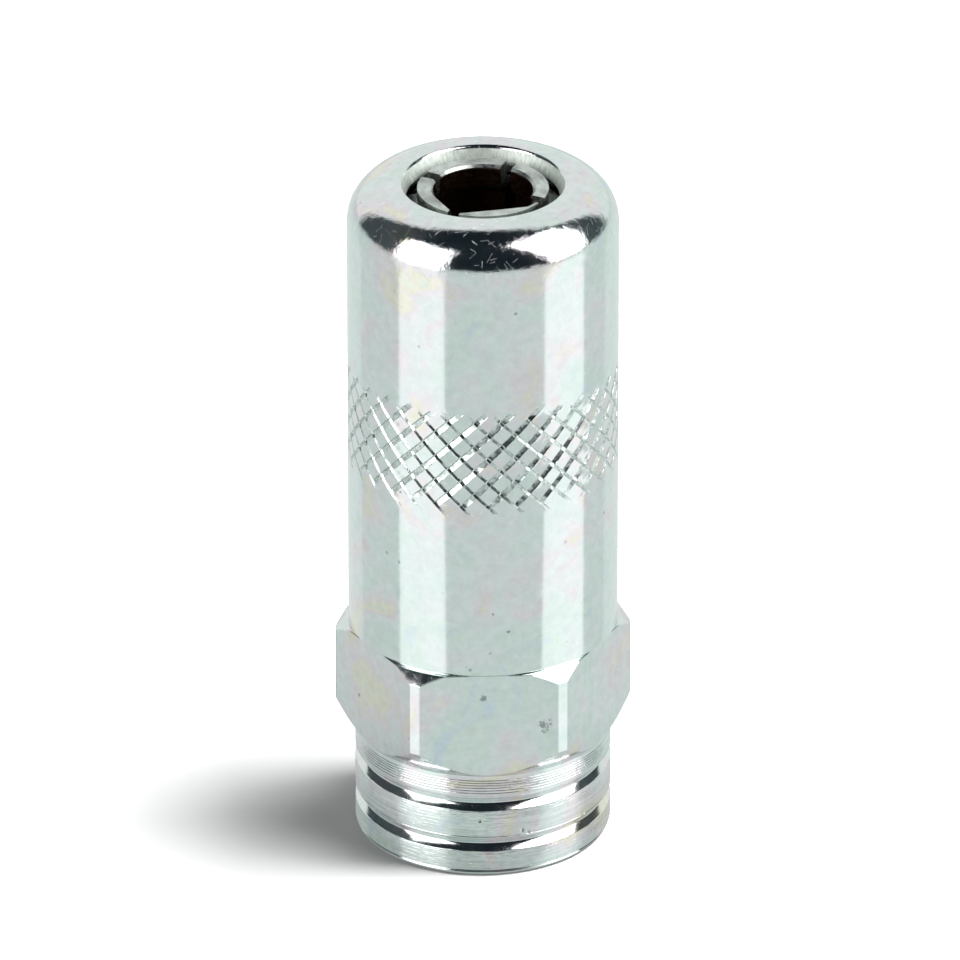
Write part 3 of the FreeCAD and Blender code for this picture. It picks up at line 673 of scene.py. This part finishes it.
def saw_jaw(name, bearing, straight_lip):
    """One quarter of the turned collet between two saw cuts, with tumbled edges."""
    bm = bmesh.new()
    turn_on_lathe(bm, [(radius, jaw_foot + height) for radius, height in JAW_OUTLINE], closed=True)
    for vert in bm.verts:
        radius = math.hypot(vert.co.x, vert.co.y)
        if straight_lip and radius < PRESSED_RADIUS and vert.co.z > jaw_foot + PRESSED_HEIGHT:
            middle, least, most = straight_lip
            off = (math.degrees(bearing_of(vert)) - middle + 180) % 360 - 180
            off = math.radians(min(most, max(least, off)))
            wanted = min(LIP_RADIUS / math.cos(off), PRESSED_LIMIT) + radius - LIP_RADIUS
            vert.co.x *= wanted / radius
            vert.co.y *= wanted / radius
    for side in (-45, 45):
        inward = Vector(polar(1, math.radians(bearing + side), 0))
        rims = cut_away(bm, inward * JAW_SLOT / 2, -inward, bmesh.types.BMEdge)
        bmesh.ops.holes_fill(bm, edges=rims)
    least_angle = math.radians(TUMBLED_ANGLE)
    crisp = [edge for edge in bm.edges if edge.is_manifold and edge.calc_face_angle() > least_angle]
    bmesh.ops.bevel(bm, geom=crisp, offset=JAW_EDGE, segments=3, affect="EDGES", clamp_overlap=True)
    return finish_piece(name, bm, 40)


def hardened_collet_steel(name):
    """Hardened, oil-quenched steel: mid grey with turning marks that run round the axis, and a
    brown painted shade on every face behind the lips, where the mouth is in shadow."""
    material, tree, shader, place = new_finish(name)
    shader.inputs["Metallic"].default_value = 1
    split = add_node(tree, "SeparateXYZ", {"Vector": place})
    flat = add_node(tree, "CombineXYZ", {"X": split.outputs["X"], "Y": split.outputs["Y"]})
    radius = add_node(tree, "VectorMath", {0: flat}, operation="LENGTH")
    bearing = add_node(tree, "Math", {0: split.outputs["Y"], 1: split.outputs["X"]}, operation="ARCTAN2")
    # The marks are drawn out round the axis: a radian of it counts as 1.2 mm.
    slow = add_node(tree, "Math", {0: bearing, 1: 1.2 * MM}, operation="MULTIPLY")
    wound = add_node(tree, "CombineXYZ", {"X": radius, "Y": slow, "Z": split.outputs["Z"]})
    marks = add_node(tree, "TexNoise", {"Vector": wound, "Scale": 5.2 / MM, "Detail": 4, "Roughness": 0.6})
    blotch = add_node(tree, "TexNoise", {"Vector": place, "Scale": 0.7 / MM, "Detail": 3})
    shade = add_node(tree, "MapRange", {
        "Value": marks, "From Min": 0.3, "From Max": 0.7, "To Min": 0.72, "To Max": 1.12,
    })
    tone = add_node(tree, "ValToRGB", {"Fac": blotch}, stops=[
        (0.35, "#a7aaa7"), (0.62, "#d8dcd9"),
    ])
    bare = add_node(tree, "VectorMath", {0: tone, "Scale": shade}, operation="SCALE")
    # The painted shade starts just under the lips' front edge inside, and lower down it is all round.
    inside = add_node(tree, "MapRange", {
        "Value": radius,
        "From Min": (LIP_RADIUS + 0.11) * MM, "From Max": (LIP_RADIUS + 0.07) * MM,
    })
    under_edge = add_node(tree, "MapRange", {
        "Value": split.outputs["Z"], "From Min": (jaw_top - 0.1) * MM, "From Max": (jaw_top - 0.25) * MM,
    })
    deep = add_node(tree, "MapRange", {
        "Value": split.outputs["Z"], "From Min": (jaw_top - 1.2) * MM, "From Max": (jaw_top - 1.7) * MM,
    })
    lip_painted_shade = add_node(tree, "Math", {0: inside, 1: under_edge}, operation="MULTIPLY")
    painted_shade = add_node(tree, "Math", {0: lip_painted_shade, 1: deep}, operation="MAXIMUM")
    base = add_node(tree, "Mix", {"Factor": painted_shade, "A": bare, "B": linear("#5e4331")}, data_type="RGBA")
    tree.links.new(base.outputs["Result"], shader.inputs["Base Color"])
    dull = add_node(tree, "MapRange", {
        "Value": marks, "From Min": 0.3, "From Max": 0.7, "To Min": 0.22, "To Max": 0.42,
    })
    tree.links.new(dull.outputs["Result"], shader.inputs["Roughness"])
    bump = add_node(tree, "Bump", {"Strength": 0.5, "Distance": 0.008 * MM, "Height": marks})
    tree.links.new(bump.outputs["Normal"], shader.inputs["Normal"])
    return material


jaw_steel = hardened_collet_steel("hardened_turned_collet_steel")
for quarter, side in enumerate(("right", "back", "left", "front")):
    jaw = saw_jaw(f"jaw_{side}_sawn", JAW_TURN + 90 * quarter, STRAIGHT_LIPS.get(side))
    jaw.data.materials.append(jaw_steel)
    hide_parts(f"jaw_{side}")
    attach(jaw, f"jaw_{side}")
refinish("jaw_spreader_ring", drawn_steel("rolled_spring_strip", "#77787b", 0.3, 2.4))

# Nose sleeve: steel tube turned outside and in, its nose rounded with a form tool, its middle
# cross knurled by rollers, zinc plated like the adapter and screwed down onto the spigot until it
# meets the hexagon. Its inner cone closes the jaws.
SLEEVE_RADIUS = 7.75
SLEEVE_TOP = 40.93
# The knurl's grooves climb at 45 degrees, so half a pitch up crosses half a pitch round.
KNURL_LOW = 23.3
KNURL_HIGH = 30.3
KNURL_MIDDLE = 27.04
KNURL_STARTS = 32
KNURL_PITCH = FULL_TURN * SLEEVE_RADIUS / KNURL_STARTS
# The grooves run out over the first length, and the whole knurl evens out over the second.
KNURL_RUN_OUT = 0.28
KNURL_MARGIN = 0.5
# The diamonds between the grooves lie a little lower than the turned face, and are this rough.
KNURL_FLAT = -0.007
KNURL_ROUGHNESS = 0.004
# A first groove keeps this share of its depth where a second one has been rolled across it, to
# this share of the pitch on each side.
KNURL_CROSSED = 0.35
KNURL_CROSSING = 0.09
# Lines of one groove and of the diamond after it, as shares of the pitch, with their levels: lip,
# flank, root, flank, lip, flat. The first groove leans right and is broad, the second leans left
# and is narrow.
FIRST_GROOVE = (
    (-0.25, KNURL_FLAT), (-0.20, 0), (-0.13, -0.096), (-0.11, -0.096), (0.11, -0.012), (0.13, 0),
    (0.18, KNURL_FLAT), (0.37, KNURL_FLAT), (0.56, KNURL_FLAT),
)
SECOND_GROOVE = (
    (-0.13, KNURL_FLAT), (-0.08, 0), (0.05, -0.056), (0.065, -0.056), (0.10, 0),
    (0.15, KNURL_FLAT), (0.30, KNURL_FLAT), (0.45, KNURL_FLAT), (0.60, KNURL_FLAT), (0.74, KNURL_FLAT),
)
FIRST_ENDS = (24.1, 30.1)
SECOND_ENDS = (23.45, 29.8)


def press_knurl(bm):
    """The crossed grooves of the knurl, pressed into the sleeve, which run out at both ends.
    Returns the band's lower and upper rims."""
    chance = random.Random(7)
    families = []
    for lines, (low, high) in ((FIRST_GROOVE, FIRST_ENDS), (SECOND_GROOVE, SECOND_ENDS)):
        grooves = []
        for start in range(KNURL_STARTS):
            # Each groove ends a little off, is pressed more or less, and drifts by part of a pitch.
            ends = (low + chance.uniform(-0.12, 0.12), high + chance.uniform(-0.15, 0.15))
            grooves.append((ends, chance.uniform(0.85, 1.1), chance.uniform(-0.02, 0.02)))
        families.append((lines, grooves))
    around = [KNURL_STARTS * len(lines) for lines, grooves in families]
    corners = {}

    def line_at(family, index):
        """Place of a line round the sleeve in pitches, its depth, its groove's ends, its offset."""
        lines, grooves = families[family]
        period, line = divmod(index, len(lines))
        share, level = lines[line]
        ends, press, drift = grooves[period % KNURL_STARTS]
        place = period + share + drift
        if level != KNURL_FLAT:
            place += chance.uniform(-0.012, 0.012)
        return place, (level - KNURL_FLAT) * press, ends, abs(share)

    def corner(one, other):
        """The corner where a line of the first family crosses one of the second, made once."""
        lap = one // around[0]
        key = (one - lap * around[0], other - lap * around[1])
        if key not in corners:
            first, first_level, first_ends, first_offset = line_at(0, key[0])
            second, second_level, second_ends, second_offset = line_at(1, key[1])
            height = KNURL_MIDDLE + KNURL_PITCH / 2 * (second - first)
            if second_offset < KNURL_CROSSING:
                first_level *= KNURL_CROSSED
            level = KNURL_FLAT + chance.uniform(-KNURL_ROUGHNESS, KNURL_ROUGHNESS)
            for pressed, (low, high) in ((first_level, first_ends), (second_level, second_ends)):
                inside = min(height - low, high - height) / KNURL_RUN_OUT
                level += pressed * min(1, max(0, inside))
            margin = min(height - KNURL_LOW, KNURL_HIGH - height) / KNURL_MARGIN
            level = min(0, level) * min(1, max(0, margin))
            bearing = KNURL_PITCH * (first + second) / 2 / SLEEVE_RADIUS
            corners[key] = bm.verts.new(polar(SLEEVE_RADIUS + level, bearing, height))
        return corners[key]

    spread = len(SECOND_GROOVE) * ((KNURL_HIGH - KNURL_LOW) / KNURL_PITCH + 1)
    for one in range(around[0]):
        middle = one * around[1] // around[0]
        for other in range(middle - round(spread), middle + round(spread)):
            bm.faces.new((
                corner(one, other), corner(one + 1, other),
                corner(one + 1, other + 1), corner(one, other + 1),
            ))
    low = trim_level(bm, KNURL_LOW, False, SLEEVE_RADIUS)
    high = trim_level(bm, KNURL_HIGH, True, SLEEVE_RADIUS)
    return low, high


# The rest of the sleeve: its rounded nose, the mouth's funnel and throat, the cone that wedges the
# jaws, the bore for the spring, and the thread, drawn at its pitch line, with its lead-in.
NOSE_ROUNDING = 2.5
MOUTH_RADIUS = 4.66
THROAT_RADIUS = 4.36
THROAT_TOP = 40.08
CONE_TOP = 39.93
CONE_FOOT = 36.65
SPRING_BORE_RADIUS = 6.0
SLEEVE_THREAD_TOP = 20.2
SLEEVE_THREAD_RADIUS = JOINT_THREAD_RADIUS + 0.05
SLEEVE_BEVEL = 0.15
# Plain strips of the outside between the knurl and the long smooth faces.
STRIP_START = 0.15
STRIP_END = 0.4
bm = bmesh.new()
knurl_low, knurl_high = press_knurl(bm)
above_knurl, below_knurl = turn_on_lathe(bm, softened([
    (SLEEVE_RADIUS, KNURL_HIGH + STRIP_START),
    (SLEEVE_RADIUS, KNURL_HIGH + STRIP_END),
    (SLEEVE_RADIUS, SLEEVE_TOP - NOSE_ROUNDING - 0.1),
    (SLEEVE_RADIUS, SLEEVE_TOP, NOSE_ROUNDING),
    (MOUTH_RADIUS, SLEEVE_TOP, 0.3),
    (THROAT_RADIUS, THROAT_TOP, 0.1),
    (THROAT_RADIUS, CONE_TOP),
    (SPRING_BORE_RADIUS, CONE_FOOT),
    (SPRING_BORE_RADIUS, SLEEVE_THREAD_TOP),
    (SLEEVE_THREAD_RADIUS, SLEEVE_THREAD_TOP),
    (SLEEVE_THREAD_RADIUS, HEX_TOP + SLEEVE_BEVEL),
    (SLEEVE_THREAD_RADIUS + SLEEVE_BEVEL, HEX_TOP),
    (SLEEVE_RADIUS - SLEEVE_BEVEL, HEX_TOP),
    (SLEEVE_RADIUS, HEX_TOP + SLEEVE_BEVEL, 0.08),
    (SLEEVE_RADIUS, KNURL_LOW - STRIP_END),
    (SLEEVE_RADIUS, KNURL_LOW - STRIP_START),
]), closed=False)
join_rims(bm, knurl_high, above_knurl)
join_rims(bm, knurl_low, below_knurl)
sleeve = finish_piece("nose_sleeve_knurled", bm, 14)
# The nose is rubbed above 38.2 mm. There are no tool's rings on the sleeve, so that level is 0.
sleeve.data.materials.append(clear_zinc_plate(
    "clear_zinc_plate_on_knurled_tube", 0.1, nose=38.2, shank=0,
    smudges=((0.2, -7.75, 17.2, 0.16), (1.1, -7.67, 16.0, 0.16), (-2.6, -7.3, 18.4, 0.2)),
))


def rough_plate(tree, shader, pattern, colours, roughness, relief):
    """Gives a shader the plate of a rough face: two colours and a relief that follow a pattern,
    with the relief's strength and depth."""
    shader.inputs["Metallic"].default_value = 1
    shader.inputs["Roughness"].default_value = roughness
    tone = add_node(tree, "ValToRGB", {"Fac": pattern}, stops=[
        (0.34, colours[0]), (0.66, colours[1]),
    ])
    tree.links.new(tone.outputs["Color"], shader.inputs["Base Color"])
    bump = add_node(tree, "Bump", {"Strength": relief[0], "Distance": relief[1] * MM, "Height": pattern})
    tree.links.new(bump.outputs["Normal"], shader.inputs["Normal"])


def plated_rough_bore(name):
    """Zinc plate on a bore left as the boring tool cut it: pale, greenish and matt, with chatter
    marks 0.14 mm apart that run down the wall."""
    material, tree, shader, place = new_finish(name)
    split = add_node(tree, "SeparateXYZ", {"Vector": place})
    bearing = add_node(tree, "Math", {0: split.outputs["Y"], 1: split.outputs["X"]}, operation="ARCTAN2")
    # The wall is unrolled at its radius of 4.4 mm, and the marks are three times as long as wide.
    round_way = add_node(tree, "Math", {0: bearing, 1: 4.4 * MM}, operation="MULTIPLY")
    down = add_node(tree, "Math", {0: split.outputs["Z"], 1: 0.3}, operation="MULTIPLY")
    unrolled = add_node(tree, "CombineXYZ", {"X": round_way, "Y": down})
    chatter = add_node(tree, "TexNoise", {
        "Vector": unrolled, "Scale": 7 / MM, "Detail": 4, "Roughness": 0.6,
    })
    rough_plate(tree, shader, chatter, ("#d6e0d8", "#fafdf8"), 0.62, (0.6, 0.02))
    return material


def plated_rolled_groove(name):
    """Zinc plate in the knurl's grooves, where the roller has torn the steel: pale, half matt and
    grainy by the fifth of a millimetre, so that the grooves look dark grey or white, never black."""
    material, tree, shader, place = new_finish(name)
    torn = add_node(tree, "TexNoise", {"Vector": place, "Scale": 5.2 / MM, "Detail": 4, "Roughness": 0.65})
    rough_plate(tree, shader, torn, ("#b4beba", "#eef2f0"), 0.19, (0.4, 0.01))
    return material


sleeve.data.materials.append(plated_rough_bore("clear_zinc_plate_on_rough_bore"))
sleeve.data.materials.append(plated_rolled_groove("clear_zinc_plate_on_rolled_groove"))
# The bore's finish starts under the mouth's rounded rim. The grooves' is on what lies below the
# turned surface in the knurl's band.
ROUGH_WITHIN = 4.6
ROUGH_BELOW = SLEEVE_TOP - 0.16
GROOVE_INSIDE = SLEEVE_RADIUS - 0.02
for face in sleeve.data.polygons:
    reach = math.hypot(face.center.x, face.center.y) / MM
    level = face.center.z / MM
    if reach < ROUGH_WITHIN and level < ROUGH_BELOW:
        face.material_index = 1
    if KNURL_LOW < level < KNURL_HIGH and 7 < reach < GROOVE_INSIDE:
        face.material_index = 2
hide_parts("nose_sleeve")
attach(sleeve, "housing")

# The studio: a white acrylic table, two softboxes, a pale backdrop behind, a dark room in front.
# The camera stands where the photographer's did, low and far off with a long lens. Its turn, its
# rise, its distance, the point it aims at and the lens are fitted to the photograph.
CAMERA_TURN = math.radians(2.6)
CAMERA_RISE = math.radians(27.357)
CAMERA_DISTANCE = 856.22
CAMERA_AIM = Vector((0, 0, 20.5))
towards = Vector((-math.sin(CAMERA_TURN), -math.cos(CAMERA_TURN), 0))
rightward = Vector((math.cos(CAMERA_TURN), -math.sin(CAMERA_TURN), 0))


def studio_point(bearing, distance, height):
    """A place in the studio, in metres: bearing in degrees from the camera, turning right."""
    turn = math.radians(bearing)
    return (towards * math.cos(turn) + rightward * math.sin(turn)) * distance + Vector((0, 0, height))


camera = bpy.data.objects.new("camera", bpy.data.cameras.new("camera"))
bpy.context.scene.collection.objects.link(camera)
back = towards * math.cos(CAMERA_RISE) + Vector((0, 0, math.sin(CAMERA_RISE)))
camera.location = (CAMERA_AIM + back * CAMERA_DISTANCE) * MM
camera.rotation_euler = back.to_track_quat("Z", "Y").to_euler()
camera.data.sensor_width = 36
camera.data.lens = 559.95
camera.data.shift_x = -0.0031
camera.data.shift_y = 0.0217
camera.data.clip_start = 0.05
camera.data.clip_end = 20
bpy.context.scene.camera = camera

# Each softbox by its bearing and width, then distance and height of its lower and upper edge, in
# metres. It faces the coupler.
SOFTBOX_RADIANCE = 3.5
for name, bearing, width, lower_edge, upper_edge in (
    ("softbox_right", 74, 0.335, (0.58, 0.04), (0.20, 0.50)),
    ("softbox_left", -54, 0.365, (0.516, 0.0), (0.40, 0.476)),
):
    foot = studio_point(bearing, *lower_edge)
    head = studio_point(bearing, *upper_edge)
    up = (head - foot).normalized()
    away = Vector((foot.x, foot.y, 0)).normalized()
    away = (away - up * away.dot(up)).normalized()
    lamp = bpy.data.lights.new(name, "AREA")
    lamp.shape = "RECTANGLE"
    lamp.size = width
    lamp.size_y = (head - foot).length
    lamp.energy = SOFTBOX_RADIANCE * math.pi * width * lamp.size_y
    box = bpy.data.objects.new(name, lamp)
    axes = Matrix((up.cross(away), up, away)).transposed().to_4x4()
    box.matrix_world = Matrix.Translation((foot + head) / 2) @ axes
    bpy.context.scene.collection.objects.link(box)

# The table, 8 m wide. The camera sees it white with the shadow. Metal sees it pale, with a painted
# shade close to the coupler, and glossy, so that it mirrors the softboxes as the two bright
# strips. From below it is clear, so that the inlet can be seen: it lies a hair lower than the end
# face for that. Colours here are the light that metal gets back, not paint.
TABLE_REACH = 4
TABLE_LEVEL = -0.02
TABLE_GLOW = (0.575, 0.63, 0.612, 1)
TABLE_BOUNCE = (0.0302, 0.0339, 0.0327, 1)
TABLE_WHITE = (0.35, 0.35, 0.35, 1)
TABLE_GLOSS = 0.115
# Metal sees the glow at the near share at the near radius, rising to all of it at the far one.
# This dimming is a painted contact shade round the coupler's foot.
PAINTED_SHADE_SHARE = 0.68
PAINTED_SHADE_RADIUS = 9
PAINTED_SHADE_END_RADIUS = 21
bm = bmesh.new()
bmesh.ops.create_grid(bm, x_segments=8, y_segments=8, size=TABLE_REACH)
table_mesh = bpy.data.meshes.new("table")
bm.to_mesh(table_mesh)
bm.free()
table = bpy.data.objects.new("table", table_mesh)
bpy.context.scene.collection.objects.link(table)
table.location.z = TABLE_LEVEL * MM
table_finish = bpy.data.materials.new("white_acrylic_table")
table_finish.use_nodes = True
tree = table_finish.node_tree
tree.nodes.clear()
spot = add_node(tree, "NewGeometry")
white = add_node(tree, "BsdfDiffuse", {"Color": TABLE_WHITE})
clear = add_node(tree, "BsdfTransparent")
seen = add_node(tree, "MixShader", {0: spot.outputs["Backfacing"], 1: white, 2: clear})
distance = add_node(tree, "VectorMath", {0: spot.outputs["Position"]}, operation="LENGTH")
# Painted contact shade: the table's glow that metal sees dims close to the coupler.
painted_contact_shade = add_node(tree, "MapRange", {
    "Value": distance, "From Min": PAINTED_SHADE_RADIUS * MM, "From Max": PAINTED_SHADE_END_RADIUS * MM,
    "To Min": PAINTED_SHADE_SHARE, "To Max": 1,
})
glow = add_node(tree, "Emission", {"Color": TABLE_GLOW, "Strength": painted_contact_shade})
lit = add_node(tree, "BsdfDiffuse", {"Color": TABLE_BOUNCE})
pale = add_node(tree, "AddShader", {0: glow, 1: lit})
gloss = add_node(tree, "BsdfGlossy", {"Color": (1, 1, 1, 1), "Roughness": 0.05})
mirrored = add_node(tree, "MixShader", {0: TABLE_GLOSS, 1: pale, 2: gloss})
ray = add_node(tree, "LightPath")
table_look = add_node(tree, "MixShader", {0: ray.outputs["Is Camera Ray"], 1: mirrored, 2: seen})
add_node(tree, "OutputMaterial", {"Surface": table_look})
table.data.materials.append(table_finish)

# A broad lamp overhead, to the right, that lights only the table. It leaves the short soft shadow
# on the left.
shadow_lamp = bpy.data.lights.new("overhead_lamp", "AREA")
shadow_lamp.shape = "RECTANGLE"
shadow_lamp.size = 0.56
shadow_lamp.size_y = 0.555
shadow_lamp.energy = 53.6
overhead = bpy.data.objects.new("overhead_lamp", shadow_lamp)
overhead.location = studio_point(93, 0.416, 0.909)
overhead.rotation_euler = overhead.location.to_track_quat("Z", "Y").to_euler()
overhead.visible_glossy = False
bpy.context.scene.collection.objects.link(overhead)
only_table = bpy.data.collections.new("table_only")
only_table.objects.link(table)
overhead.light_linking.receiver_collection = only_table

# The room: white to the camera. Metal sees it dark in front, dim at the sides but not overhead,
# and with a pale backdrop behind the coupler, up to a steep angle. These colours are light too.
ROOM_FRONT = (0.010, 0.0165, 0.0215, 1)
ROOM_SIDES = (0.056, 0.072, 0.076, 1)
BACKDROP = (0.83, 0.88, 0.86, 1)
world = bpy.data.worlds.new("studio_room")
world.use_nodes = True
bpy.context.scene.world = world
tree = world.node_tree
tree.nodes.clear()
direction = add_node(tree, "TexCoord").outputs["Generated"]
forward = add_node(tree, "VectorMath", {0: direction, 1: towards}, operation="DOT_PRODUCT")
level = add_node(tree, "SeparateXYZ", {"Vector": direction}).outputs["Z"]
# How far a direction turns from the front, as a cosine measured on the level.
square = add_node(tree, "Math", {0: level, 1: level}, operation="MULTIPLY")
rest = add_node(tree, "Math", {0: 1.0001, 1: square}, operation="SUBTRACT")
flat = add_node(tree, "Math", {0: rest}, operation="SQRT")
turned = add_node(tree, "Math", {0: forward, 1: flat}, operation="DIVIDE")
beside = add_node(tree, "MapRange", {
    "Value": turned, "From Min": 0.3, "From Max": 0.1,
}, interpolation_type="SMOOTHSTEP")
low = add_node(tree, "MapRange", {"Value": level, "From Min": 0.95, "From Max": 0.8})
sides = add_node(tree, "Math", {0: beside, 1: low}, operation="MULTIPLY")
dim = add_node(tree, "Mix", {"Factor": sides, "A": ROOM_FRONT, "B": ROOM_SIDES}, data_type="RGBA")
behind = add_node(tree, "MapRange", {
    "Value": turned, "From Min": -0.58, "From Max": -0.62,
}, interpolation_type="SMOOTHSTEP")
below = add_node(tree, "MapRange", {
    "Value": level, "From Min": 0.93, "From Max": 0.88,
}, interpolation_type="SMOOTHSTEP")
backdrop = add_node(tree, "Math", {0: behind, 1: below}, operation="MULTIPLY")
room = add_node(tree, "Mix", {"Factor": backdrop, "A": dim, "B": BACKDROP}, data_type="RGBA")
ray = add_node(tree, "LightPath")
shown = add_node(tree, "Mix", {
    "Factor": ray.outputs["Is Camera Ray"], "A": room, "B": (1, 1, 1, 1),
}, data_type="RGBA")
sky = add_node(tree, "Background", {"Color": shown, "Strength": 1})
add_node(tree, "OutputWorld", {"Surface": sky})

bpy.context.scene.view_settings.view_transform = "Standard"
